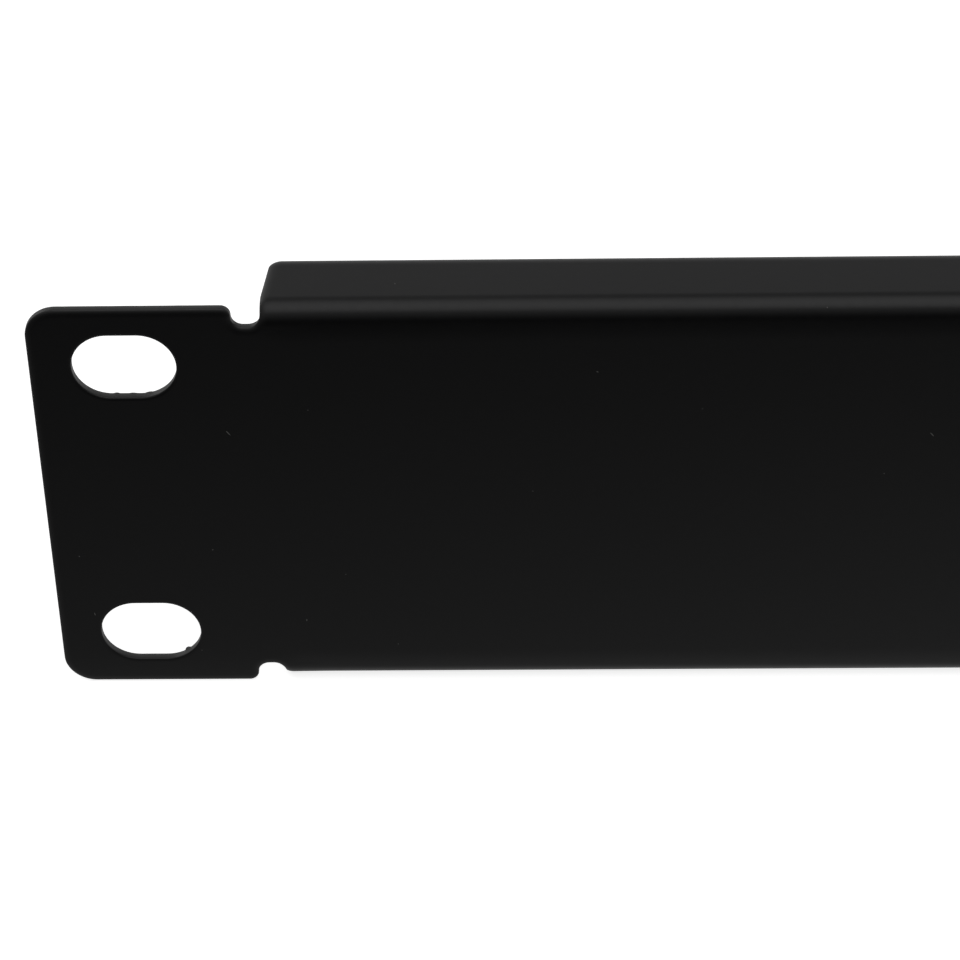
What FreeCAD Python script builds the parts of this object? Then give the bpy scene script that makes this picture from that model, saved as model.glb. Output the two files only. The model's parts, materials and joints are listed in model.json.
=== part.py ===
import FreeCAD, Part
import os
from math import cos, hypot, tan

import Sketcher
from FreeCAD import Placement, Vector

# Rack blanking panel, one rack unit high, folded from a single sheet of steel.
#
# Frame, in millimetres: +X runs along the panel to the right as seen from the front, +Y runs from the
# front face back into the rack, +Z is up. The origin lies midway between the four mounting slots, on the
# back of the sheet, which is the plane that seats on the rack's two front rails.
#
# The sheet has a flat face with an ear at each end. Along its top and bottom edges, between the ears, a
# flange is folded back through a right angle. Each flange stops short of the ear at a relief notch, so
# that the fold can't tear the ear. Two slots in each ear take the rail screws.

DOCUMENT = "rack_blanking_panel"
NODE = "blanking_panel"

# Driving dimensions: alias, millimetres, what it measures.
DRIVING = [
    ("panel_width", 482.6, "overall width over both ears"),
    ("panel_height", 44.45, "overall height, one rack unit"),
    ("sheet_thickness", 0.9, "steel sheet with its powder coat"),
    ("slot_end_inset", 8.75, "slot centre to the panel's end"),
    ("slot_edge_inset", 6.35, "slot centre to the panel's top or bottom edge"),
    ("slot_length", 9.6, "slot end to slot end, along the panel"),
    ("slot_height", 7.0, "slot height, twice the radius of its round ends"),
    ("ear_width", 18.85, "panel end to the ear's wall of the relief notch"),
    ("ear_corner_radius", 3.0, "outer corners of the ears"),
    ("notch_width", 2.6, "ear to flange end, at the fold"),
    ("notch_clearance", 0.1, "how far the notch goes past the start of the fold"),
    ("notch_root_radius", 1.1, "inner corners of the notch"),
    ("notch_mouth_radius", 1.0, "corner between the notch and the ear's edge"),
    ("bend_inner_radius", 1.1, "inner radius of the fold"),
    ("flange_depth", 8.0, "front face to the free edge of the flange"),
    ("flange_setback", 0.55, "how much shorter the flange's free edge is at each end"),
    ("slant_clearance", 0.4, "end of the fold to where the flange's end starts to slant"),
    ("slant_blend_radius", 4.0, "gentle turn where the slant starts"),
    ("flange_corner_radius", 1.2, "corners of the flange's free edge"),
    ("punch_side_radius", 0.3, "rolled-over edges on the outer side of the sheet"),
    ("die_side_radius", 0.12, "coated burr edges on the inner side of the sheet"),
    ("sliver", 0.05, "the least straight wall left between two roundings"),
]

# Sizes that follow from the driving dimensions: alias, formula, what it measures.
DERIVED = [
    ("half_width", "=panel_width / 2", "middle to panel end"),
    ("half_height", "=panel_height / 2", "middle to top edge"),
    ("inner_half_height", "=half_height - sheet_thickness", "middle to the inner side of a flange"),
    ("bend_outer_radius", "=bend_inner_radius + sheet_thickness", "outer radius of the fold"),
    ("bend_start", "=half_height - bend_outer_radius", "middle to the start of the fold"),
    ("bend_end", "=bend_inner_radius", "seat plane to the end of the fold"),
    ("flange_start", "=bend_end + slant_clearance / 4", "seat plane to the seam of fold and flange"),
    ("slant_start", "=bend_end + slant_clearance", "seat plane to the start of the slant"),
    ("flange_reach", "=flange_depth - sheet_thickness", "seat plane to the free edge of the flange"),
    ("notch_outer", "=half_width - ear_width", "middle to the notch's wall on the ear"),
    ("notch_inner", "=notch_outer - notch_width", "middle to the notch's wall on the flange"),
    ("notch_middle", "=notch_outer - notch_width / 2", "middle to the notch's centre line"),
    ("notch_floor", "=bend_start - notch_clearance", "middle to the bottom of the notch"),
    ("root_room", "=min(notch_width / 2; bend_inner_radius + notch_clearance)", "largest root that fits"),
    ("root_radius", "=min(notch_root_radius; root_room - sliver)", "root, clear of the flange's inner side"),
    ("mouth_room", "=half_height - notch_floor - root_radius", "notch wall left above its root"),
    ("mouth_radius", "=min(notch_mouth_radius; mouth_room - sliver)", "mouth, within the wall left for it"),
    ("flange_tip", "=notch_inner - flange_setback", "middle to the end of the flange's free edge"),
    ("slot_radius", "=slot_height / 2", "round ends of a slot"),
    ("slot_half_straight", "=slot_length / 2 - slot_radius", "slot centre to the centre of a round end"),
    ("slot_across", "=half_width - slot_end_inset", "middle to a slot's centre, along the panel"),
    ("slot_up", "=half_height - slot_edge_inset", "middle to a slot's centre, upwards"),
]

# A cut runs this far past the edge that it opens.
OVERCUT = 1.0
# How near a point must lie to a stated place to count as on it.
NEAR = 1e-4
# Two faces that meet at less than this angle, in radians, run smoothly into each other.
SMOOTH = 0.02


def make_sheet(doc):
    """The spreadsheet that holds every size, one row each: alias, value, meaning."""
    sheet = doc.addObject("Spreadsheet::Sheet", "Dimensions")
    rows = [(alias, str(value), meaning) for alias, value, meaning in DRIVING] + DERIVED
    for row, (alias, content, meaning) in enumerate(rows, start=1):
        sheet.set(f"A{row}", alias)
        sheet.set(f"B{row}", content)
        sheet.set(f"C{row}", meaning)
        sheet.setAlias(f"B{row}", alias)
    doc.recompute()
    return sheet


def size(alias):
    """The formula that reads one size from the spreadsheet."""
    return f"Dimensions.{alias}"


# ---- sketches ------------------------------------------------------------------------------------------


def origin_feature(body, role):
    """The body's own origin plane or axis with this role."""
    return next(o for o in body.Origin.OriginFeatures if o.Role == role)


def new_sketch(body, name, role):
    """An empty sketch on one of the body's origin planes."""
    sketch = body.newObject("Sketcher::SketchObject", name)
    sketch.AttachmentSupport = [(origin_feature(body, role), "")]
    sketch.MapMode = "FlatFace"
    return sketch


def bind(sketch, kind, where, formula):
    """Adds a dimension to a sketch and ties it to the spreadsheet by a formula."""
    index = sketch.addConstraint(Sketcher.Constraint(kind, *where, sketch.evalExpression(formula)))
    sketch.setExpression(f"Constraints[{index}]", formula)


def bind_place(sketch, where, across, up):
    """Ties a point of a sketch to its place, two formulas measured from the sketch's origin."""
    bind(sketch, "DistanceX", (-1, 1, *where), across)
    bind(sketch, "DistanceY", (-1, 1, *where), up)


def draw_outline(sketch, corners):
    """A closed outline of straight lines, with any of its corners rounded.

    A corner is a pair of formulas, or three where the third is the radius that rounds it. A construction
    point holds each corner's sharp place, and the lines on either side are made to pass through it.
    """
    count = len(corners)
    places = [Vector(*(sketch.evalExpression(formula) for formula in corner[:2]), 0) for corner in corners]
    headings = [(places[(i + 1) % count] - places[i]).normalize() for i in range(count)]
    trims = []
    for i, corner in enumerate(corners):
        radius = sketch.evalExpression(corner[2]) if len(corner) > 2 else 0
        half_turn = headings[i - 1].getAngle(headings[i]) / 2
        trims.append(radius * tan(half_turn))
    points, lines = [], []
    for i, corner in enumerate(corners):
        start = places[i] + headings[i] * trims[i]
        end = places[(i + 1) % count] - headings[i] * trims[(i + 1) % count]
        points.append(sketch.addGeometry(Part.Point(places[i]), True))
        lines.append(sketch.addGeometry(Part.LineSegment(start, end)))
        bind_place(sketch, (points[i], 1), corner[0], corner[1])
    for i, corner in enumerate(corners):
        before, after = lines[i - 1], lines[i]
        for line in (before, after):
            sketch.addConstraint(Sketcher.Constraint("PointOnObject", points[i], 1, line))
        if not trims[i]:
            sketch.addConstraint(Sketcher.Constraint("Coincident", before, 2, after, 1))
            continue
        start = places[i] - headings[i - 1] * trims[i]
        end = places[i] + headings[i] * trims[i]
        bulge = places[i] - (start + end) / 2
        half_turn = headings[i - 1].getAngle(headings[i]) / 2
        # The arc's middle splits the line from the chord to the sharp corner in this ratio.
        middle = (start + end) / 2 + bulge * (cos(half_turn) / (1 + cos(half_turn)))
        arc = sketch.addGeometry(Part.Arc(start, middle, end))
        # An arc's own ends always run anticlockwise about its centre.
        left_turn = headings[i - 1].cross(headings[i]).z > 0
        first, last = (1, 2) if left_turn else (2, 1)
        sketch.addConstraint(Sketcher.Constraint("Tangent", before, 2, arc, first))
        sketch.addConstraint(Sketcher.Constraint("Tangent", arc, last, after, 1))
        bind(sketch, "Radius", (arc,), corner[2])


def draw_slot(sketch, across, up):
    """A screw slot along the sketch's X, with full-round ends, centred at a place given by two formulas."""
    centre = Vector(sketch.evalExpression(across), sketch.evalExpression(up), 0)
    reach = Vector(sketch.evalExpression(size("slot_half_straight")), 0, 0)
    radius = sketch.evalExpression(size("slot_radius"))
    rise, bulge = Vector(0, radius, 0), Vector(radius, 0, 0)
    left, right = centre - reach, centre + reach
    pieces = [
        Part.LineSegment(left - rise, right - rise),
        Part.Arc(right - rise, right + bulge, right + rise),
        Part.LineSegment(right + rise, left + rise),
        Part.Arc(left + rise, left - bulge, left - rise),
    ]
    outline = [sketch.addGeometry(piece) for piece in pieces]
    for piece, following in zip(outline, outline[1:] + outline[:1]):
        sketch.addConstraint(Sketcher.Constraint("Tangent", piece, 2, following, 1))
    right_end, left_end = outline[1], outline[3]
    sketch.addConstraint(Sketcher.Constraint("Equal", right_end, left_end))
    bind(sketch, "Radius", (right_end,), size("slot_radius"))
    bind_place(sketch, (right_end, 3), f"{across} + {size('slot_half_straight')}", up)
    bind_place(sketch, (left_end, 3), f"{across} - {size('slot_half_straight')}", up)


# ---- features ------------------------------------------------------------------------------------------


def add_pad(body, name, sketch, formula, sides="One side"):
    """Gives the sketch a thickness, by formula, on one side of its plane or evenly about it."""
    pad = body.newObject("PartDesign::Pad", name)
    pad.Profile = sketch
    pad.SideType = sides
    pad.setExpression("Length", formula)
    return pad


def add_pocket(body, name, sketch):
    """Cuts the sketch through the whole solid, both ways from its plane, and makes sure that it cut."""
    body.Document.recompute()
    before = body.Shape.Volume
    pocket = body.newObject("PartDesign::Pocket", name)
    pocket.Profile = sketch
    pocket.SideType = "Symmetric"
    pocket.Type = "ThroughAll"
    body.Document.recompute()
    if pocket.Shape.Volume >= before:
        raise ValueError(f"{name} cuts nothing")
    return pocket


def add_mirrored(body, name, originals, role):
    """Repeats features on the other side of one of the body's origin planes."""
    mirrored = body.newObject("PartDesign::Mirrored", name)
    mirrored.Originals = originals
    mirrored.MirrorPlane = (origin_feature(body, role), [""])
    body.Tip = mirrored
    return mirrored


def add_fillet(body, name, picked, formula):
    """Rounds those edges of the body so far that the function picked chooses."""
    body.Document.recompute()
    base = body.Tip
    edges = [f"Edge{n}" for n, edge in enumerate(base.Shape.Edges, start=1) if picked(base.Shape, edge)]
    if not edges:
        raise ValueError(f"{name} finds no edges")
    fillet = body.newObject("PartDesign::Fillet", name)
    fillet.Base = (base, edges)
    fillet.setExpression("Radius", formula)
    return fillet


# ---- choosing edges ------------------------------------------------------------------------------------


def is_sharp(shape, edge):
    """Whether the two faces that share the edge meet at an angle."""
    middle = edge.valueAt((edge.FirstParameter + edge.LastParameter) / 2)
    faces = shape.ancestorsOfType(edge, Part.Face)
    normals = [face.normalAt(*face.Surface.parameter(middle)) for face in faces]
    return len(normals) == 2 and normals[0].getAngle(normals[1]) > SMOOTH


def notch_mouths(sheet):
    """A choice of the straight edges where a notch's wall meets the top or bottom of an ear."""

    def picked(_, edge):
        return len(edge.Vertexes) == 2 and all(
            abs(abs(vertex.X) - sheet.notch_outer) < NEAR and abs(abs(vertex.Z) - sheet.half_height) < NEAR
            for vertex in edge.Vertexes
        )

    return picked


def rims_at(sheet, depth):
    """A choice of the sharp edges that lie all along at one depth below the sheet's outer side."""

    def depth_at(point):
        up = abs(point.z) - sheet.bend_start
        back = point.y + sheet.sheet_thickness
        if abs(point.x) > sheet.notch_middle or up <= 0:
            return back
        if back >= sheet.bend_outer_radius:
            return sheet.bend_outer_radius - up
        return sheet.bend_outer_radius - hypot(up, sheet.bend_outer_radius - back)

    def picked(shape, edge):
        span = edge.LastParameter - edge.FirstParameter
        samples = [edge.valueAt(edge.FirstParameter + share * span) for share in (0, 0.3, 0.6, 1)]
        return all(abs(depth_at(point) - depth) < NEAR for point in samples) and is_sharp(shape, edge)

    return picked


# ---- the panel -----------------------------------------------------------------------------------------


def add_face_and_folds(body):
    """The face between the ears with the fold along its top and bottom edges, drawn as seen from the end."""
    front, seat, back = f"-{size('sheet_thickness')}", "0", size("flange_start")
    outer, inner = size("half_height"), size("inner_half_height")
    outer_fold, inner_fold = size("bend_outer_radius"), size("bend_inner_radius")
    sketch = new_sketch(body, "SectionSketch", "YZ_Plane")
    corners = [
        (front, f"-{outer}", outer_fold),
        (back, f"-{outer}"),
        (back, f"-{inner}"),
        (seat, f"-{inner}", inner_fold),
        (seat, inner, inner_fold),
        (back, inner),
        (back, outer),
        (front, outer, outer_fold),
    ]
    draw_outline(sketch, corners)
    add_pad(body, "FaceAndFolds", sketch, f"2 * {size('notch_middle')}", "Symmetric")


def add_right_ear(body):
    """The flat ear at the +X end, from the middle of the notch to the panel's end."""
    near, far = size("notch_middle"), size("half_width")
    top, bottom = size("half_height"), f"-{size('half_height')}"
    tip = size("ear_corner_radius")
    sketch = new_sketch(body, "EarSketch", "XZ_Plane")
    draw_outline(sketch, [(near, bottom), (far, bottom, tip), (far, top, tip), (near, top)])
    return add_pad(body, "RightEar", sketch, size("sheet_thickness"))


def add_right_slots(body):
    """The two screw slots of the right ear."""
    sketch = new_sketch(body, "SlotSketch", "XZ_Plane")
    for up in (size("slot_up"), f"-{size('slot_up')}"):
        draw_slot(sketch, size("slot_across"), up)
    return add_pocket(body, "RightSlots", sketch)


def add_right_notches(body):
    """The relief notches above and below, between the ear and the ends of the flanges."""
    near, far, root = size("notch_inner"), size("notch_outer"), size("root_radius")
    floor, past = size("notch_floor"), f"({size('half_height')} + {OVERCUT})"
    sketch = new_sketch(body, "NotchSketch", "XZ_Plane")
    draw_outline(sketch, [(near, floor, root), (far, floor, root), (far, past), (near, past)])
    low = [(far, f"-{floor}", root), (near, f"-{floor}", root), (near, f"-{past}"), (far, f"-{past}")]
    draw_outline(sketch, low)
    return add_pocket(body, "RightNotches", sketch)


def add_top_flange(body):
    """The flat part of the top flange, drawn as seen from above, with its slanted ends."""
    wide, narrow = size("notch_inner"), size("flange_tip")
    front, slant, back = size("flange_start"), size("slant_start"), size("flange_reach")
    turn, tip = size("slant_blend_radius"), size("flange_corner_radius")
    sketch = new_sketch(body, "FlangeSketch", "XY_Plane")
    sketch.setExpression("AttachmentOffset.Base.z", size("inner_half_height"))
    corners = [
        (f"-{wide}", front),
        (wide, front),
        (wide, slant, turn),
        (narrow, back, tip),
        (f"-{narrow}", back, tip),
        (f"-{wide}", slant, turn),
    ]
    draw_outline(sketch, corners)
    return add_pad(body, "TopFlange", sketch, size("sheet_thickness"))


def make_panel(doc, sheet):
    """The whole panel as one body, its features in the order in which they depend on each other."""
    body = doc.addObject("PartDesign::Body", "Panel")
    body.Label = NODE
    add_face_and_folds(body)
    right_end = [add_right_ear(body), add_right_slots(body), add_right_notches(body)]
    add_mirrored(body, "LeftEnd", right_end, "YZ_Plane")
    add_mirrored(body, "BottomFlange", [add_top_flange(body)], "XY_Plane")
    add_fillet(body, "NotchMouths", notch_mouths(sheet), size("mouth_radius"))
    add_fillet(body, "OuterRims", rims_at(sheet, 0), size("punch_side_radius"))
    add_fillet(body, "InnerRims", rims_at(sheet, sheet.sheet_thickness), size("die_side_radius"))
    body.Placement = Placement()
    doc.recompute()
    return body


# ---- checks and files ----------------------------------------------------------------------------------


def check_document(doc, bodies):
    """Stops if any object of the document failed, or a sub-part isn't one sound solid."""
    failed = [o.Label for o in doc.Objects if {"Invalid", "Error"} & set(o.State)]
    if failed:
        raise RuntimeError(f"these objects failed: {failed}")
    for body in bodies:
        shape = body.Shape
        if shape.isNull() or not shape.isValid() or len(shape.Solids) != 1:
            raise RuntimeError(f"{body.Label} isn't one sound solid")


def main():
    doc = FreeCAD.newDocument(DOCUMENT)
    sheet = make_sheet(doc)
    bodies = [make_panel(doc, sheet)]
    check_document(doc, bodies)
    os.makedirs("parts", exist_ok=True)
    for body in bodies:
        body.Shape.exportStep(f"parts/{body.Label}.step")
        print(f"{body.Label}: {body.Shape.Volume:.1f} mm3, {len(body.Shape.Faces)} faces")


main()
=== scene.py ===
# %% [markdown]
# # A rack blanking panel in black powder coat
#
# The object is one sheet of steel: punched flat, folded twice, then sprayed with powder and baked. This
# lesson rebuilds it the same way. The outline is drawn flat, the edges get the shape that a punch and
# a coat of powder give them, and a fold map bends the whole sheet at once.
#
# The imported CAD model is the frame. It fixes every size and place, so it is loaded first and measured.
# Lengths in the arrays are millimetres, because that is how sheet metal is drawn, and a mesh gets
# metres. X runs along the panel, Y from its front into the rack, and Z up.

# %% Load the frame
import json
import math

import bpy
import numpy as np
from mathutils import Matrix, Vector
from mathutils.geometry import delaunay_2d_cdt


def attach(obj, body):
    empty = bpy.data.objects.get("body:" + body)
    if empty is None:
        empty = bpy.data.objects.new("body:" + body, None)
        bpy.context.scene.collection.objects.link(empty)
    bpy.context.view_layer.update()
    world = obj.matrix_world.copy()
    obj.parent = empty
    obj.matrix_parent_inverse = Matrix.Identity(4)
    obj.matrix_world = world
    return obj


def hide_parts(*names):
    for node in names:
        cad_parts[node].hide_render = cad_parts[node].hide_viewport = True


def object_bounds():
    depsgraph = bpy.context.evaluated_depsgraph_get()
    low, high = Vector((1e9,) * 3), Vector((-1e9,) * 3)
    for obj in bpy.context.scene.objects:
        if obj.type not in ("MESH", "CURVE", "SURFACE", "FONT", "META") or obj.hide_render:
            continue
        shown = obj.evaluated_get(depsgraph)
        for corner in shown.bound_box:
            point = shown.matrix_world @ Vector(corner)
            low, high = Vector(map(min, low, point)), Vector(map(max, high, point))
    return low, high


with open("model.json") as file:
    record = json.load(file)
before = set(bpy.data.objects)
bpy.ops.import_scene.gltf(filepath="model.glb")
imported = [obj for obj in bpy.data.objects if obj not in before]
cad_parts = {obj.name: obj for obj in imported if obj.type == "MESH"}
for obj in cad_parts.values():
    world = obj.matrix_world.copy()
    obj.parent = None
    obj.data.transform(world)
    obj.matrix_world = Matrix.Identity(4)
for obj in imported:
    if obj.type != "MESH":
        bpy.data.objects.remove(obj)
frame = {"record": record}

MM = 0.001
cad_box = [list(corner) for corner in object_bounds()]
low, high = np.array(cad_box) / MM
record = frame["record"]
print("CAD box in mm:", low.round(3), high.round(3))

# %% [markdown]
# ## Sizes
#
# The box gives the panel's width, height and depth. It gives the sheet's thickness too, because the
# back of the sheet is the plane Y = 0. The mounting slots are a mount in the record, so their spacing
# and size are read from there. The notches, the inside of the fold and the rounded corners have the
# values that drive the CAD source. Only the gentle lead into each fold and the widths of the rolled
# edges are finer than the CAD, and everything else follows from these.

# %% Sizes from the frame
slots = next(mount for mount in record["mounts"] if mount["name"] == "rail_slots")["dims"]
SLOT_ALONG, SLOT_UP = slots["spacing_x_mm"] / 2, slots["spacing_y_mm"] / 2
SLOT_LENGTH, SLOT_HEIGHT = slots["slot_length_mm"], 2 * slots["hole_r_mm"]
HALF_WIDTH, HALF_HEIGHT = high[0], high[2]
FRONT, FREE_EDGE = low[1], high[1]
THICKNESS = -FRONT
HALF_SHEET = THICKNESS / 2

EAR_WIDTH, NOTCH_WIDTH, NOTCH_CLEARANCE = 18.85, 2.6, 0.1
EAR_TIP, NOTCH_ROOT, NOTCH_MOUTH = 3.0, 1.1, 0.95
FLANGE_SETBACK, SLANT_CLEARANCE, SLANT_TURN, FLANGE_TIP = 0.55, 0.4, 4.0, 1.2
BEND_INNER = 1.1
# The lead's turn and length, and how far from a notch's centre line it has grown to its full turn.
LEAD_TURN, LEAD_LENGTH, LEAD_FADE = math.radians(8), 2.0, 3.8
# Depth and width of the roll round the outline and the slots, and its extra width on the flanges.
OUTLINE_ROLL, SLOT_ROLL, FLANGE_ROLL_EXTRA = (0.3, 0.8), (0.16, 0.35), 0.22
BURR_EDGE = 0.12

BEND_MIDDLE = BEND_INNER + HALF_SHEET
BEND_START = HALF_HEIGHT - BEND_INNER - THICKNESS
BEND_LENGTH = BEND_MIDDLE * math.pi / 2
BEND_END = BEND_START + BEND_LENGTH
LEAD_RADIUS = LEAD_LENGTH / LEAD_TURN
# A lead cuts the corner, so the way to the free edge is shorter. With A the lead's turn, the difference
# is (the lead's radius less the bend's) x (sin A + 1 - cos A - A).
LEAD_SAVES = (LEAD_RADIUS - BEND_MIDDLE) * (math.sin(LEAD_TURN) + 1 - math.cos(LEAD_TURN) - LEAD_TURN)
BLANK_EDGE = BEND_END + FREE_EDGE - BEND_INNER - LEAD_SAVES
NOTCH_OUTER = HALF_WIDTH - EAR_WIDTH
NOTCH_INNER = NOTCH_OUTER - NOTCH_WIDTH
NOTCH_CENTRE = NOTCH_OUTER - NOTCH_WIDTH / 2
NOTCH_FLOOR = BEND_START - NOTCH_CLEARANCE
print(f"flat blank: {2 * HALF_WIDTH:.1f} by {2 * BLANK_EDGE:.2f} mm, sheet {THICKNESS:.2f} mm")

# %% [markdown]
# ## The camera
#
# A long lens at about a third of a metre looks down on the left end of the panel. Its place is measured
# from the panel's lower left front corner, so the framing follows the part. The turns are made in the
# order of a tripod's head: turn about the upright axis, tip down, then roll about the lens.

# %% The camera
CAMERA_FROM_CORNER = Vector((51.12, -266.84, 235.88))
TURN, LOOK_DOWN, ROLL = math.radians(2.18), math.radians(38.33), math.radians(-1.73)
LENS, CLIP_START = 136.96, 0.01

camera = bpy.data.objects.new("camera", bpy.data.cameras.new("camera"))
bpy.context.scene.collection.objects.link(camera)
camera.data.lens = LENS
camera.data.clip_start = CLIP_START
corner = Vector((low[0], FRONT, low[2]))
camera.matrix_world = (
    Matrix.Translation((corner + CAMERA_FROM_CORNER) * MM)
    @ Matrix.Rotation(TURN, 4, "Z")
    @ Matrix.Rotation(math.pi / 2 - LOOK_DOWN, 4, "X")
    @ Matrix.Rotation(ROLL, 4, "Z")
)
bpy.context.scene.camera = camera
bpy.context.scene.view_settings.view_transform = "Standard"
print(f"camera stands {(camera.location / MM).length:.1f} mm from the panel's middle")

# %% [markdown]
# ## The outline of the flat blank
#
# A punched outline is straight lines with rounded corners. Each corner is named once, with its radius,
# for one quarter of the blank, and the other quarters are its mirror images. One function turns any
# list of such corners into points. It also carries the direction that points into the metal, because
# the edge's shape will be built on it. The same function draws the slots, whose round ends are two
# corners rounded by half the slot's height.

# %% Paths with rounded corners
CORNER_STEPS = 20
SAME_PLACE = 1e-6


def left_of(direction):
    """The direction turned a quarter turn anticlockwise: (a, b) becomes (-b, a)."""
    return np.stack([-direction[..., 1], direction[..., 0]], axis=-1)


def rounded_path(corners):
    """A closed path as rows of point and left-hand normal, from corners given as (along, up, radius).

    The heading turns at a corner by an angle A. The arc begins radius x tan(A / 2) before the corner, its
    centre is one radius to the turning side, and its points are the normal swept evenly through A.
    """
    corners = np.array(corners, float)
    points, radius = corners[:, :2], corners[:, 2]
    leaving = np.roll(points, -1, axis=0) - points
    leaving /= np.linalg.norm(leaving, axis=1, keepdims=True)
    arriving = np.roll(leaving, 1, axis=0)
    side = left_of(arriving)
    turn = np.arctan2((side * leaving).sum(axis=1), (arriving * leaving).sum(axis=1))
    start = points - arriving * (radius * np.tan(np.abs(turn) / 2))[:, None]
    reach = (radius * np.sign(turn))[:, None]
    centre = start + side * reach
    swept = turn[:, None] * np.linspace(0, 1, CORNER_STEPS + 1)
    normal = np.cos(swept)[..., None] * side[:, None] + np.sin(swept)[..., None] * left_of(side)[:, None]
    place = centre[:, None] - normal * reach[:, None]
    return np.concatenate([place, normal], axis=2).reshape(-1, 4)


def filled_in(path, spacing):
    """The path with points added evenly, so that no stretch is longer than the spacing wanted there."""
    step = np.roll(path, -1, axis=0) - path
    length = np.hypot(step[:, 0], step[:, 1])
    apart = length > SAME_PLACE
    path, step, length = path[apart], step[apart], length[apart]
    count = np.ceil(length / spacing(path + step / 2)).astype(int)
    first = np.repeat(np.arange(len(path)), count)
    share = (np.arange(count.sum()) - np.repeat(count.cumsum() - count, count)) / count[first]
    return path[first] + step[first] * share[:, None]


# %% The blank's outline and its four slots
EDGE_STEP, FOLD_STEP, SLOT_STEP = 0.5, 0.1, 0.09
QUARTER = [
    (HALF_WIDTH, HALF_HEIGHT, EAR_TIP),
    (NOTCH_OUTER, HALF_HEIGHT, NOTCH_MOUTH),
    (NOTCH_OUTER, NOTCH_FLOOR, NOTCH_ROOT),
    (NOTCH_INNER, NOTCH_FLOOR, NOTCH_ROOT),
    (NOTCH_INNER, BEND_END + SLANT_CLEARANCE, SLANT_TURN),
    (NOTCH_INNER - FLANGE_SETBACK, BLANK_EDGE, FLANGE_TIP),
]


def in_a_fold(along, up, margin=0.0):
    """Whether points of the blank lie where it is folded: between the ears, within the bend's rows."""
    up = np.abs(up)
    return (np.abs(along) < NOTCH_CENTRE) & (up > BEND_START - margin) & (up < BEND_END + margin)


def mirrored_quarters(quarter):
    """All four quarters of a corner list, in one anticlockwise order round the blank."""
    upper = quarter + [(-along, up, radius) for along, up, radius in reversed(quarter)]
    return upper + [(along, -up, radius) for along, up, radius in reversed(upper)]


def slot_corners(along, up):
    """A slot's corners round its centre, clockwise, so that the metal is on the left here too."""
    a, b, r = SLOT_LENGTH / 2, SLOT_HEIGHT / 2, SLOT_HEIGHT / 2
    return [(along + i * a, up + j * b, r) for i, j in ((-1, -1), (-1, 1), (1, 1), (1, -1))]


outline = filled_in(
    rounded_path(mirrored_quarters(QUARTER)),
    lambda p: np.where(in_a_fold(p[:, 0], p[:, 1]), FOLD_STEP, EDGE_STEP),
)
slot_paths = {
    (i, j): filled_in(rounded_path(slot_corners(i * SLOT_ALONG, j * SLOT_UP)), lambda p: SLOT_STEP)
    for i in (-1, 1)
    for j in (-1, 1)
}
print(f"outline: {len(outline)} points; each slot: {len(slot_paths[1, 1])} points")

# %% [markdown]
# ## The fold
#
# Two press-brake folds turn the long edges back. A sheet could be bent with a modifier, but a formula is
# exact and shows what a fold is: a point keeps its place along the panel, walks up the flat face, then
# round the bend, then out along the flange. Its height above the sheet's middle layer only changes the
# radius of that walk. The ears lie beyond the notches and are never bent.
#
# A die is open, so the sheet starts to curve a little before the bend. On a glossy face that gentle lead
# is what gives the soft band beside the fold. It fades out towards the notches, where the metal ends.

# %% The fold map
def sine_over(angle):
    """The sine of an angle divided by the angle, which is 1 where the angle is 0."""
    return np.sinc(angle / math.pi)


def folded(along, up, height):
    """Where a point of the flat blank ends up, in mm.

    The sheet turns gently and evenly through the lead, then round the bend until it has made a quarter
    turn, and what is left over runs straight back. An arc of length t that starts upright and turns
    through A rises t x sin A / A and goes back t x (1 - cos A) / A. The lead starts where it has to for
    the flange to end up at the panel's full height, and fades out towards the notches.
    """
    fade = np.clip((NOTCH_CENTRE - np.abs(along)) / LEAD_FADE, 0, 1)
    lead = LEAD_TURN * fade**2 * (3 - 2 * fade)
    start = BEND_START + BEND_MIDDLE * np.sin(lead) - LEAD_LENGTH * sine_over(lead)
    past = np.where(np.abs(along) < NOTCH_CENTRE, np.maximum(np.abs(up) - start, 0), 0)
    gentle = np.minimum(past, LEAD_LENGTH)
    further = past - gentle
    easy = lead * gentle / LEAD_LENGTH
    angle = np.minimum(easy + further / BEND_MIDDLE, math.pi / 2)
    straight = np.maximum(further - BEND_MIDDLE * (math.pi / 2 - lead), 0)
    gentle_back = gentle * np.sin(easy / 2) * sine_over(easy / 2)
    back = gentle_back + BEND_MIDDLE * (np.cos(easy) - np.cos(angle)) + straight
    rise = gentle * sine_over(easy) + BEND_MIDDLE * (np.sin(angle) - np.sin(easy))
    level = np.abs(up) - past + rise + height * np.sin(angle)
    depth = back - HALF_SHEET - height * np.cos(angle)
    return np.stack(np.broadcast_arrays(along, depth, np.sign(up) * level), axis=-1)


check = folded(np.zeros(2), np.array([0, BLANK_EDGE]), HALF_SHEET)
print("front of the face and outer free edge at", check.round(3).tolist())

# %% [markdown]
# ## The punched edge under its coat
#
# A punch rolls the sheet's edge over on the side where it enters, shears a wall, and leaves a burr on
# the far side. Powder then rounds all of it. So the edge is a profile: a rolled corner, wider than it is
# deep, a wall, a tight burr corner, and a narrow flat strip at each end that keeps the shading of the
# flat sheet flat. A bevel modifier would round both sides alike and circularly. Here the profile is
# carried along every path in one step, as a grid of path points by profile points. The roll is wider
# and deeper round the outline than round the slots, and widest on the flanges.
#
# No sheared edge is even. A slow ripple shifts the burr side a little, and a few coated burr teeth
# stand into the slots where the punch tore the metal.

# %% The edge's profile
ROLL_STEPS, WALL_STEPS, BURR_STEPS = 8, 3, 3
STRIP = 0.12


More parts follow.
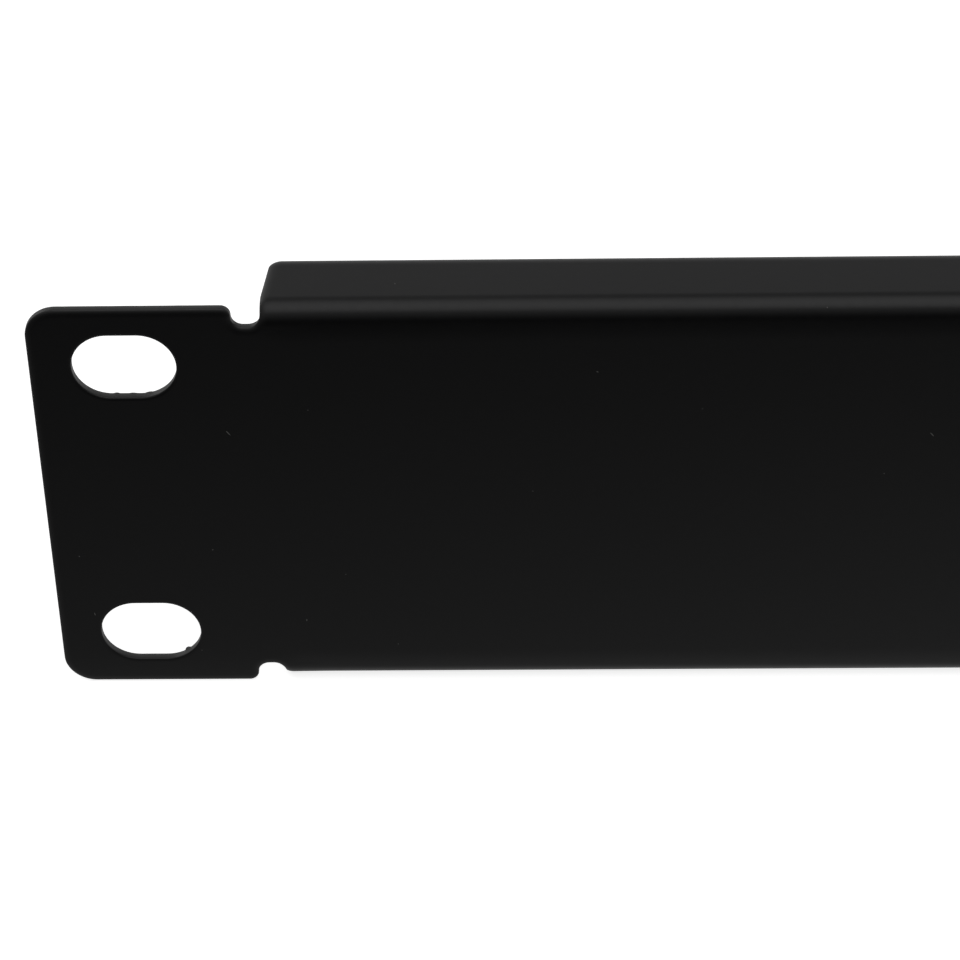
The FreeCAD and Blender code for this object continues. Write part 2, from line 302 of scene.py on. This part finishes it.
def edge_profile(roll_depth, roll_width):
    """Rows of (inset, height, share, rolled): distance in from the path, height over the middle of the
    sheet, how far the point has gone from the rolled side, 0, to the burr side, 1, and its place on the
    roll, from 1 at the flat face to 0 at the wall.

    The burr is a quarter circle and the roll a quarter ellipse: centre minus or plus the radii x (sine,
    cosine) of an even sweep.
    """
    roll = np.linspace(0, math.pi / 2, ROLL_STEPS + 1)
    burr = np.linspace(0, math.pi / 2, BURR_STEPS + 1)
    wall = np.linspace(HALF_SHEET - roll_depth, BURR_EDGE - HALF_SHEET, WALL_STEPS + 1)[1:-1]
    inset = np.concatenate([
        [roll_width + STRIP],
        roll_width * (1 - np.sin(roll)),
        0 * wall,
        BURR_EDGE * (1 - np.cos(burr)),
        [BURR_EDGE + STRIP],
    ])
    height = np.concatenate([
        [HALF_SHEET],
        HALF_SHEET - roll_depth * (1 - np.cos(roll)),
        wall,
        BURR_EDGE * (1 - np.sin(burr)) - HALF_SHEET,
        [-HALF_SHEET],
    ])
    share = np.clip((HALF_SHEET - height) / THICKNESS, 0, 1)
    share[[0, -1]] = 0
    rolled = np.zeros(len(inset))
    rolled[0] = 1
    rolled[1:ROLL_STEPS + 2] = 1 - np.sin(roll)
    return np.stack([inset, height, share, rolled], axis=1)


OUTLINE_PROFILE, SLOT_PROFILE = edge_profile(*OUTLINE_ROLL), edge_profile(*SLOT_ROLL)
print(f"edge profiles: {len(SLOT_PROFILE)} points, {np.ptp(SLOT_PROFILE[:, 1]):.2f} mm high")

# %% Ripples and burr teeth
OUTLINE_RIPPLE, SLOT_RIPPLE, RIPPLE_SPACING = 0.02, 0.01, 2.4
RIPPLE_WAVES = np.array([0.13, 0.31, 0.57, 1.0, 1.7])
# Teeth of one slot: how far along and up from the slot's centre, half their width and height, in mm.
TEETH = {
    (-1, 1): [(-1.0, -3.5, 0.24, 0.09), (0.53, -3.5, 0.27, 0.06), (2.0, -3.43, 0.3, 0.1)],
    (-1, -1): [(3.3, -2.87, 0.28, 0.24)],
    (1, 1): [(1.7, -3.48, 0.28, 0.09), (-3.9, -2.33, 0.24, 0.08)],
    (1, -1): [(-0.4, -3.5, 0.3, 0.07)],
}


def ripple(path, depth, seed):
    """How far the sheared wall lies in from the path, at least 0 and at most the depth.

    It is half the depth x (1 + the mean of a few sines of the length along the path). Each sine has a
    whole number of waves, so that it closes, and a seeded phase.
    """
    random = np.random.default_rng(seed)
    step = np.roll(path, -1, axis=0) - path
    length = np.hypot(step[:, 0], step[:, 1])
    turn = 2 * math.pi * (length.cumsum() - length) / length.sum()
    waves = np.round(length.sum() / RIPPLE_SPACING * RIPPLE_WAVES)
    phase = random.uniform(0, 2 * math.pi, len(waves))
    return depth * (0.5 + 0.5 * np.sin(turn[:, None] * waves + phase).mean(axis=1))


def tooth_height(path, centre, teeth):
    """How far the burr stands out of a slot's wall: the sum of one blunt bell for each tooth.

    A blunt bell is height x e to the power of minus (distance / half width) to the fourth.
    """
    teeth = np.array(teeth)
    away = path[:, None, :2] - centre - teeth[:, :2]
    return (teeth[:, 3] * np.exp(-((away**2).sum(axis=2) / teeth[:, 2] ** 2) ** 2)).sum(axis=1)


def extra_roll(path):
    """How much wider the roll is at each point of the outline: nothing on the ears, all past the bends.

    With t the share of the bend passed, from 0 to 1, it is the extra width x t squared x (3 - 2t).
    """
    passed = np.clip((np.abs(path[:, 1]) - BEND_START) / BEND_LENGTH, 0, 1)
    passed = passed * (np.abs(path[:, 0]) < NOTCH_CENTRE)
    return FLANGE_ROLL_EXTRA * passed**2 * (3 - 2 * passed)


def edge_grid(profile, path, uneven, stands_out, wider):
    """The profile carried along a path: a grid of (along, up, height), path points by profile points.

    A point is the path's point plus the normal times the inset. The ripple adds to the inset in
    proportion to the share of the wall passed, a tooth takes from it by the share's fourth power, and a
    wider roll stretches the rolled part.
    """
    inset, height, share, rolled = profile.T
    inset = inset + uneven[:, None] * share - stands_out[:, None] * share**4 + wider[:, None] * rolled
    flat = path[:, None, :2] + path[:, None, 2:] * inset[..., None]
    return np.concatenate([flat, np.broadcast_to(height, inset.shape)[..., None]], axis=2)


uneven, no_teeth = ripple(outline, OUTLINE_RIPPLE, 1), np.zeros(len(outline))
grids = [edge_grid(OUTLINE_PROFILE, outline, uneven, no_teeth, extra_roll(outline))]
for number, (side, path) in enumerate(slot_paths.items(), start=2):
    centre = np.array(side) * (SLOT_ALONG, SLOT_UP)
    uneven = ripple(path, SLOT_RIPPLE, number)
    teeth = tooth_height(path, centre, TEETH[side])
    grids.append(edge_grid(SLOT_PROFILE, path, uneven, teeth, np.zeros(len(path))))
print(f"edge grids: {[grid.shape[:2] for grid in grids]}")

# %% [markdown]
# ## The two skins
#
# Between its edges the sheet is two flat skins with four holes. A constrained Delaunay triangulation
# fills such a shape from its border loops, and the triangles inside a hole are then dropped. It runs on
# the flat blank, and the fold map bends the triangles with everything else.
#
# A bend and its lead need rows of edges that run straight along them, so the rows are given as
# constraints. A row of the bend joins the matching border points at both ends through evenly spaced
# points in between, and a row of the lead ends clear of the notches. A coarse net of points keeps the
# flat triangles from being long and thin.

# %% Filling a skin
COLUMN_STEP, NET_STEP, CLEAR_OF_EDGE = 4.0, 6.0, 1.2
ROW_MARGIN, MERGE_WITHIN = 0.15, 1e-7
# The lead's rows: the first one's distance from the bend, the step to the next, where they end, and
# how far in from there the closer columns are, which follow the fading lead.
FIRST_ROW, LEAD_STEP, ROWS_END = 0.25, 0.15, NOTCH_CENTRE - LEAD_FADE + 1
CLOSER_COLUMNS = np.array([0, 1, 2.5])


def row_ends(border, side, level):
    """Which border points end the bend's rows on one side and level, in order of height."""
    along, up = border[:, 0] * side, border[:, 1] * level
    found = np.flatnonzero((along > 0) & (up > 0) & in_a_fold(along, up, ROW_MARGIN))
    return found[np.argsort(up[found])]


def fold_rows(border, first_new):
    """New points and constraint edges of the rows in both bends. New points are numbered from first_new."""
    reach = NOTCH_INNER - COLUMN_STEP
    columns = np.linspace(-reach, reach, round(2 * reach / COLUMN_STEP) + 1)
    points, edges = [], []
    for level in (1, -1):
        left, right = row_ends(border, -1, level), row_ends(border, 1, level)
        inner = np.stack(np.broadcast_arrays(columns, border[left, 1:2]), axis=2)
        count = first_new + sum(len(p) for p in points)
        number = count + np.arange(inner[..., 0].size).reshape(inner.shape[:2])
        chain = np.column_stack([left, number, right])
        edges.append(np.stack([chain[:, :-1], chain[:, 1:]], axis=2).reshape(-1, 2))
        points.append(inner.reshape(-1, 2))
    return np.concatenate(points), np.concatenate(edges)


def lead_rows(first_new):
    """New points and constraint edges of the rows in both leads. The rows end clear of the notches."""
    ends = ROWS_END - CLOSER_COLUMNS
    inner = np.linspace(-ends[-1], ends[-1], round(2 * ends[-1] / COLUMN_STEP) + 1)[1:-1]
    rows = BEND_START - np.arange(FIRST_ROW, LEAD_LENGTH, LEAD_STEP)
    columns = np.concatenate([-ends, inner, ends[::-1]])
    points = np.stack(np.meshgrid(columns, np.concatenate([rows, -rows])), axis=2)
    number = first_new + np.arange(points[..., 0].size).reshape(points.shape[:2])
    edges = np.stack([number[:, :-1], number[:, 1:]], axis=2)
    return points.reshape(-1, 2), edges.reshape(-1, 2)


def in_a_hole(points, inset):
    """Whether points of the blank lie in a skin's hole, which is a slot made larger by the inset.

    That is where a point is nearer to the slot's centre line than half its height plus the inset.
    """
    along = np.abs(np.abs(points[:, 0]) - SLOT_ALONG) - (SLOT_LENGTH - SLOT_HEIGHT) / 2
    up = np.abs(points[:, 1]) - SLOT_UP
    return np.hypot(np.maximum(along, 0), up) < SLOT_HEIGHT / 2 + inset


def face_net(border, inset):
    """A coarse net of points over the flat face and ears, each clear of every border point."""
    along = np.linspace(-HALF_WIDTH, HALF_WIDTH, round(2 * HALF_WIDTH / NET_STEP) + 1)
    reach = BEND_START - LEAD_LENGTH
    up = np.linspace(-reach, reach, round(2 * reach / NET_STEP) + 1)[1:-1]
    net = np.stack(np.meshgrid(along, up), axis=2).reshape(-1, 2)
    nearest = ((net[:, None] - border[None, ::2]) ** 2).sum(axis=2).min(axis=1)
    return net[(nearest > CLEAR_OF_EDGE**2) & ~in_a_hole(net, inset)]


def loop_edges(first, count):
    """The edges of a closed loop of points numbered from first."""
    number = np.arange(count)
    return first + np.stack([number, (number + 1) % count], axis=1)


def filled_skin(loops, inset):
    """Triangles that fill the first loop and leave the holes open, and the points added inside.

    Points are numbered through the loops in their order, then through the added ones.
    """
    border = np.concatenate(loops)
    rows, row_edges = fold_rows(border, len(border))
    leads, lead_edges = lead_rows(len(border) + len(rows))
    net = face_net(border, inset)
    points = np.concatenate([border, rows, leads, net])
    starts = np.cumsum([0] + [len(loop) for loop in loops[:-1]])
    edges = np.concatenate([loop_edges(s, len(l)) for s, l in zip(starts, loops)] + [row_edges, lead_edges])
    inside = 1
    found = delaunay_2d_cdt(points.tolist(), edges.tolist(), [], inside, MERGE_WITHIN)
    source = np.array(found[3]).ravel()
    triangles = source[np.array(found[2])]
    in_metal = ~in_a_hole(points[triangles].mean(axis=1), inset)
    return triangles[in_metal], points[len(border):]


front_loops = [grid[:, 0, :2] for grid in grids]
back_loops = [grid[:, -1, :2] for grid in grids]
front_triangles, front_added = filled_skin(front_loops, SLOT_PROFILE[0, 0])
back_triangles, back_added = filled_skin(back_loops, SLOT_PROFILE[-1, 0])
print(f"front skin: {len(front_triangles)} triangles; back skin: {len(back_triangles)}")

# %% [markdown]
# ## One closed mesh
#
# The edge grids and the skins share their border points, so the mesh closes by numbering alone. The
# quads of a grid are whole arrays too: a point, its neighbour across the profile, and the same pair one
# step further round. Both edge profiles have the same number of points, so one numbering fits them all.
#
# Two attributes are kept for the finish: the share of the wall, because a sheared edge is painted a little
# greyer as a highlight and is duller, and each point's place on the flat blank, so that marks can follow the
# sheet round its folds.

# %% Joining edges and skins
def grid_quads(first, rows, columns):
    """Quads of a grid of points numbered row by row from first, closed round its rows."""
    number = first + np.arange(rows * columns).reshape(rows, columns)
    ahead = np.roll(number, -1, axis=0)
    corners = [number[:, :-1], number[:, 1:], ahead[:, 1:], ahead[:, :-1]]
    return np.stack(corners, axis=2).reshape(-1, 4)


sizes = [grid.shape[0] * grid.shape[1] for grid in grids]
starts = np.cumsum([0] + sizes)
columns = len(SLOT_PROFILE)
front_border = np.concatenate([s + columns * np.arange(len(g)) for s, g in zip(starts, grids)])
front_new = starts[-1] + np.arange(len(front_added))
back_new = front_new[-1] + 1 + np.arange(len(back_added))
front_numbers = np.concatenate([front_border, front_new])
back_numbers = np.concatenate([front_border + columns - 1, back_new])


def raised(points, height):
    """Points of the blank at one height over its middle layer."""
    return np.column_stack([points, np.full(len(points), height)])


blank = np.concatenate(
    [grid.reshape(-1, 3) for grid in grids]
    + [raised(front_added, HALF_SHEET), raised(back_added, -HALF_SHEET)]
)
quads = np.concatenate([grid_quads(s, len(g), columns) for s, g in zip(starts, grids)])
triangles = np.concatenate([front_numbers[front_triangles], back_numbers[back_triangles][:, ::-1]])
places = folded(*blank.T) * MM

mesh = bpy.data.meshes.new("blanking_panel_sheet")
mesh.from_pydata(places.tolist(), [], quads.tolist() + triangles.tolist())
mesh.shade_smooth()
sheared = np.zeros(len(blank), np.float32)
shares = [OUTLINE_PROFILE[:, 2]] + [SLOT_PROFILE[:, 2]] * len(slot_paths)
sheared[: starts[-1]] = np.concatenate([np.tile(s, len(g)) for s, g in zip(shares, grids)])
mesh.attributes.new("sheared", "FLOAT", "POINT").data.foreach_set("value", sheared)
flat_place = (blank * MM).astype(np.float32)
mesh.attributes.new("flat_place", "FLOAT_VECTOR", "POINT").data.foreach_set("vector", flat_place.ravel())
mesh.validate()
panel = bpy.data.objects.new("blanking_panel_sheet", mesh)
bpy.context.scene.collection.objects.link(panel)
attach(panel, "root")
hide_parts("blanking_panel")
print(f"sheet: {len(mesh.vertices)} points, {len(quads) * 2 + len(triangles)} triangles")

# %% [markdown]
# ## Effects of the coat
#
# Powder melts into a skin with a fine orange peel, and a little dust and lint settles on it. Each is a
# node group that gives out a height or a mask, so the same effect can be placed in any other
# powder-coated material with its own values.
#
# The lint is drawn from cells rather than from a noise with a threshold, because then each fibre has its
# own turn, length and place, and the share of cells that have one sets how clean the panel is.

# %% Node helpers
def new_group(name, inputs, outputs):
    """An empty shader group with float inputs, {name: default}, a Vector input first, and float outputs."""
    group = bpy.data.node_groups.new(name, "ShaderNodeTree")
    group.interface.new_socket("Vector", in_out="INPUT", socket_type="NodeSocketVector")
    for label, value in inputs.items():
        group.interface.new_socket(label, in_out="INPUT", socket_type="NodeSocketFloat").default_value = value
    for label in outputs:
        group.interface.new_socket(label, in_out="OUTPUT", socket_type="NodeSocketFloat")
    return group, group.nodes.new("NodeGroupInput"), group.nodes.new("NodeGroupOutput")


def add(tree, kind, settings=None, **values):
    """A new node with its settings and input values; a value that is a socket is linked instead."""
    node = tree.nodes.new(f"ShaderNode{kind}")
    for name, value in (settings or {}).items():
        setattr(node, name, value)
    for name, value in values.items():
        socket = node.inputs[int(name[1:])] if name[1:].isdigit() else node.inputs[name.replace("_", " ")]
        if isinstance(value, bpy.types.NodeSocket):
            tree.links.new(value, socket)
        else:
            socket.default_value = value
    return node


def reckon(tree, operation, *values):
    """A Math node's result."""
    node = add(tree, "Math", {"operation": operation}, **{f"_{i}": v for i, v in enumerate(values)})
    return node.outputs[0]


print("node helpers are ready")

# %% The orange peel and the lint
GRAIN_SHARE, WAVE_SHARE = 0.25, 0.5


def orange_peel():
    """Height of the melted powder: fine grains, the peel, and slow waves, each a noise of its own size.

    It is the peel plus a share of the grains plus a share of the waves.
    """
    inputs = {"Grains per metre": 4000, "Peel per metre": 1100, "Waves per metre": 60}
    group, given, result = new_group("orange_peel", inputs, ["Height"])
    grain = add(group, "TexNoise", Vector=given.outputs[0], Scale=given.outputs[1], Detail=2, Roughness=0.6)
    peel = add(group, "TexNoise", Vector=given.outputs[0], Scale=given.outputs[2], Detail=1, Roughness=0.4)
    waves = add(group, "TexNoise", Vector=given.outputs[0], Scale=given.outputs[3], Detail=1)
    fine = reckon(group, "MULTIPLY", grain.outputs[0], GRAIN_SHARE)
    wide = reckon(group, "MULTIPLY", waves.outputs[0], WAVE_SHARE)
    height = reckon(group, "ADD", reckon(group, "ADD", fine, peel.outputs[0]), wide)
    group.links.new(height, result.inputs[0])
    return group


def lint():
    """A mask of settled lint: one short fibre in a share of the cells of a flat Voronoi pattern.

    With a and b the distance from the cell's point along and across the fibre, the fibre is where (a / its
    half length) squared plus (b / its half width) squared is under 1. The cell's colour gives three
    random numbers: the turn, the length and whether there is a fibre at all. The length goes by the
    cube of its number, so most fibres are specks.
    """
    inputs = {"Cells per metre": 100, "Share": 0.35, "Half length": 0.0005, "Half width": 0.00004}
    group, given, result = new_group("lint", inputs, ["Mask"])
    place, density, share, length, width = given.outputs[:5]
    flat = {"voronoi_dimensions": "2D"}
    cells = add(group, "TexVoronoi", flat, Vector=place, Scale=density, Randomness=1)
    chance = add(group, "SeparateColor", Color=cells.outputs["Color"]).outputs
    away = add(group, "VectorMath", {"operation": "SUBTRACT"}, _0=place, _1=cells.outputs["Position"])
    turn = reckon(group, "MULTIPLY", chance[0], 2 * math.pi)
    turned = add(group, "VectorRotate", {"rotation_type": "Z_AXIS"}, Vector=away.outputs[0], Angle=turn)
    part = add(group, "SeparateXYZ", Vector=turned.outputs[0]).outputs
    own_length = reckon(group, "MULTIPLY", length, reckon(group, "POWER", chance[1], 3))
    reach = reckon(group, "ADD", own_length, width)
    along = reckon(group, "POWER", reckon(group, "DIVIDE", part[0], reach), 2)
    across = reckon(group, "POWER", reckon(group, "DIVIDE", part[1], width), 2)
    fibre = reckon(group, "LESS_THAN", reckon(group, "ADD", along, across), 1)
    present = reckon(group, "LESS_THAN", chance[2], share)
    group.links.new(reckon(group, "MULTIPLY", fibre, present), result.inputs[0])
    return group


peel_group, lint_group = orange_peel(), lint()
print("effect groups:", peel_group.name, lint_group.name)

# %% [markdown]
# ## Black powder coat
#
# The finish is a near-black satin plastic over steel. It has almost no colour of its own, so its look is its
# sheen: a middling roughness, a low specular level, and the peel in the normal. The sheared walls and part of
# their rolls are painted a little greyer than the face, a painted highlight for the light that an edge
# catches, and they are duller. Lint is read on the flat blank, where a wall has no width, so it is kept off
# the walls.

# %% The powder coat
BLACK = (*record["materials"][0]["base_color"], 1)
# Painted highlight: this grey lightens the sheared walls and part of their rolls, standing in for light
# caught on the edges.
EDGE_HIGHLIGHT_GREY = (0.065, 0.065, 0.064, 1)
LINT_GREY = (0.14, 0.14, 0.135, 1)
PEEL_LOW, PEEL_HIGH = 0.5, 1.3
ROUGHNESS_LOW, ROUGHNESS_HIGH, WALL_ROUGHER = 0.33, 0.4, 0.15
SPECULAR_LEVEL, PEEL_STRENGTH, PEEL_DEPTH = 0.3, 0.15, 0.00003
WALL_FROM = 0.02


def powder_coat():
    """Black satin powder coat: black, painted greyer on the sheared share of an edge as a highlight, then
    lint on top of both.
    """
    material = bpy.data.materials.new("black_powder_coat")
    material.use_nodes = True
    tree = material.node_tree
    shader = tree.nodes["Principled BSDF"]
    peel = add(tree, "Group", {"node_tree": peel_group}, Vector=add(tree, "TexCoord").outputs["Object"])
    flat = add(tree, "Attribute", {"attribute_name": "flat_place"}).outputs["Vector"]
    fibres = add(tree, "Group", {"node_tree": lint_group}, Vector=flat).outputs[0]
    sheared = add(tree, "Attribute", {"attribute_name": "sheared"}).outputs["Fac"]
    settled = reckon(tree, "MULTIPLY", fibres, reckon(tree, "LESS_THAN", sheared, WALL_FROM))
    # Painted highlight: the sheared share of each edge is mixed towards the edge grey.
    coat = add(tree, "Mix", {"data_type": "RGBA"}, _0=sheared, _6=BLACK, _7=EDGE_HIGHLIGHT_GREY)
    colour = add(tree, "Mix", {"data_type": "RGBA"}, _0=settled, _6=coat.outputs[2], _7=LINT_GREY)
    tree.links.new(colour.outputs[2], shader.inputs["Base Color"])
    satin = add(tree, "MapRange", Value=peel.outputs[0], From_Min=PEEL_LOW, From_Max=PEEL_HIGH,
                To_Min=ROUGHNESS_LOW, To_Max=ROUGHNESS_HIGH)
    duller = reckon(tree, "MULTIPLY", sheared, WALL_ROUGHER)
    tree.links.new(reckon(tree, "ADD", satin.outputs[0], duller), shader.inputs["Roughness"])
    shader.inputs["Specular IOR Level"].default_value = SPECULAR_LEVEL
    bump = add(tree, "Bump", Strength=PEEL_STRENGTH, Distance=PEEL_DEPTH, Height=peel.outputs[0])
    tree.links.new(bump.outputs[0], shader.inputs["Normal"])
    return material


mesh.materials.append(powder_coat())
print("finish:", mesh.materials[0].name)

# %% [markdown]
# ## Floor, world and lamps
#
# The panel stands on a white sweep. The floor is a plain pale surface that keeps a faint shadow. It glows for
# the camera, which makes it a white background, and it glows graded in reflections, which paints reflections
# onto the object's gloss, though it adds no diffuse light. It lies a hair below the lower flange, so that the
# two never share a plane. Two soft boxes give the light: a large one overhead, and a smaller one behind on
# the left.
#
# The camera sees plain white all round, but a reflection sees the same surroundings graded. Behind and
# above the panel they are bright. In front of it the room is dark, and that is what lets black look
# black, because an even white in every reflection would turn the coat grey. The face mirrors the floor
# in front of it, so the floor's graded glow shades the face from dark at the top to grey at the foot.

# %% The floor
PAPER, LIFTED = (0.8, 0.8, 0.8, 1), 0.8
FRONT_GLOW, FRONT_REACH, FRONT_POWER = 0.44, 0.16, 2
BACK_GLOW, BACK_START, BACK_FULL = 0.55, -0.005, 0.01
SIDE_START, SIDE_END, SIDE_GLOW = 0.14, 0.26, 0.6


def white_floor():
    """Pale paper, lifted to white where the camera sees it.

    A reflection sees it bright behind the panel and at its foot, and darker further in front: the front
    glow x (share of the way back to the foot) squared, plus a step up by the back glow from the foot
    backwards. Both are less towards the panel's ends, down to the side glow's share of them.
    """
    material = bpy.data.materials.new("white_floor")
    material.use_nodes = True
    tree = material.node_tree
    tree.nodes.remove(tree.nodes["Principled BSDF"])
    paper = add(tree, "BsdfDiffuse", Color=PAPER)
    path = add(tree, "LightPath")
    seen = reckon(tree, "ADD", path.outputs["Is Camera Ray"], path.outputs["Is Transmission Ray"])
    lifted = add(tree, "Emission", Strength=reckon(tree, "MULTIPLY", seen, LIFTED))
    shown = add(tree, "AddShader", _0=paper.outputs[0], _1=lifted.outputs[0])
    along, back = add(tree, "SeparateXYZ", Vector=add(tree, "TexCoord").outputs["Object"]).outputs[:2]
    nearness = add(tree, "MapRange", Value=back, From_Min=-FRONT_REACH, From_Max=0).outputs[0]
    front = reckon(tree, "MULTIPLY", reckon(tree, "POWER", nearness, FRONT_POWER), FRONT_GLOW)
    behind = add(tree, "MapRange", Value=back, From_Min=BACK_START, From_Max=BACK_FULL, To_Max=BACK_GLOW)
    outwards = add(tree, "MapRange", Value=reckon(tree, "ABSOLUTE", along), From_Min=SIDE_START,
                   From_Max=SIDE_END, To_Min=1, To_Max=SIDE_GLOW)
    glow = reckon(tree, "MULTIPLY", reckon(tree, "ADD", front, behind.outputs[0]), outwards.outputs[0])
    # Painted reflection: the floor glows for glossy rays only, graded, and this glow shades the panel's face.
    mirrored = add(tree, "Emission", Strength=glow)
    glossy = path.outputs["Is Glossy Ray"]
    surface = add(tree, "MixShader", _0=glossy, _1=shown.outputs[0], _2=mirrored.outputs[0])
    tree.links.new(surface.outputs[0], tree.nodes["Material Output"].inputs["Surface"])
    return material


FLOOR_REACH, FLOOR_GAP = 4.0, 0.05
FLOOR_LEVEL = (low[2] - FLOOR_GAP) * MM
floor_mesh = bpy.data.meshes.new("floor")
corner_signs = ((-1, -1), (1, -1), (1, 1), (-1, 1))
floor_corners = [(i * FLOOR_REACH, j * FLOOR_REACH, FLOOR_LEVEL) for i, j in corner_signs]
floor_mesh.from_pydata(floor_corners, [], [(0, 1, 2, 3)])
floor_mesh.materials.append(white_floor())
floor = bpy.data.objects.new("floor", floor_mesh)
bpy.context.scene.collection.objects.link(floor)
print(f"floor at {FLOOR_LEVEL / MM:.3f} mm")

# %% The world
EVEN_LIGHT, HIGH_BEHIND, HIGH_IN_FRONT = 0.22, 0.42, 0.66


def surroundings():
    """White for the camera, an even grey as light, and in reflections a bright back and a dark front.

    The parts of a direction run from -1 to 1. Behind, a reflection's brightness is (share of the way
    from Y = -0.3 to 0.8) x (1 at the horizon, less from there up). In front, it falls from a glow round
    the overhead lamp to nothing near the horizon.
    """
    world = bpy.data.worlds.new("surroundings")
    bpy.context.scene.world = world
    world.use_nodes = True
    tree = world.node_tree
    _, back, up = add(tree, "SeparateXYZ", Vector=add(tree, "TexCoord").outputs["Generated"]).outputs
    backwards = add(tree, "MapRange", Value=back, From_Min=-0.3, From_Max=0.8)
    upwards = add(tree, "MapRange", Value=up, From_Max=0.5, To_Min=1, To_Max=HIGH_BEHIND)
    behind = reckon(tree, "MULTIPLY", backwards.outputs[0], upwards.outputs[0])
    forwards = add(tree, "MapRange", Value=back, From_Min=0.2, From_Max=-0.2)
    glow = add(tree, "MapRange", Value=up, From_Min=0.05, From_Max=0.95, To_Max=HIGH_IN_FRONT)
    front = reckon(tree, "MULTIPLY", forwards.outputs[0], glow.outputs[0])
    mirrored = reckon(tree, "ADD", behind, front)
    path = add(tree, "LightPath")
    white = reckon(tree, "ADD", path.outputs["Is Camera Ray"], path.outputs["Is Transmission Ray"])
    light = add(tree, "Mix", _0=path.outputs["Is Glossy Ray"], _2=EVEN_LIGHT, _3=mirrored)
    strength = add(tree, "Mix", _0=white, _2=light.outputs[0], _3=1)
    tree.links.new(strength.outputs[0], tree.nodes["Background"].inputs["Strength"])
    tree.nodes["Background"].inputs["Color"].default_value = (1, 1, 1, 1)
    return world


print("world:", surroundings().name)

# %% The lamps
def softbox(name, place, aim, size, power):
    """A square area lamp at a place, turned to face the aim."""
    lamp = bpy.data.lights.new(name, "AREA")
    lamp.size, lamp.energy = size, power
    holder = bpy.data.objects.new(name, lamp)
    bpy.context.scene.collection.objects.link(holder)
    holder.location = place
    holder.rotation_euler = (Vector(aim) - Vector(place)).to_track_quat("-Z", "Y").to_euler()
    return holder


softbox("overhead", place=(-0.1, -0.22, 0.8), aim=(-0.1, -0.22, 0), size=0.95, power=2.45)
softbox("behind_left", place=(-0.8, 0.5, 0.5), aim=(-0.1, 0, 0), size=0.5, power=1.0)
print("lamps:", [lamp.name for lamp in bpy.data.lights])
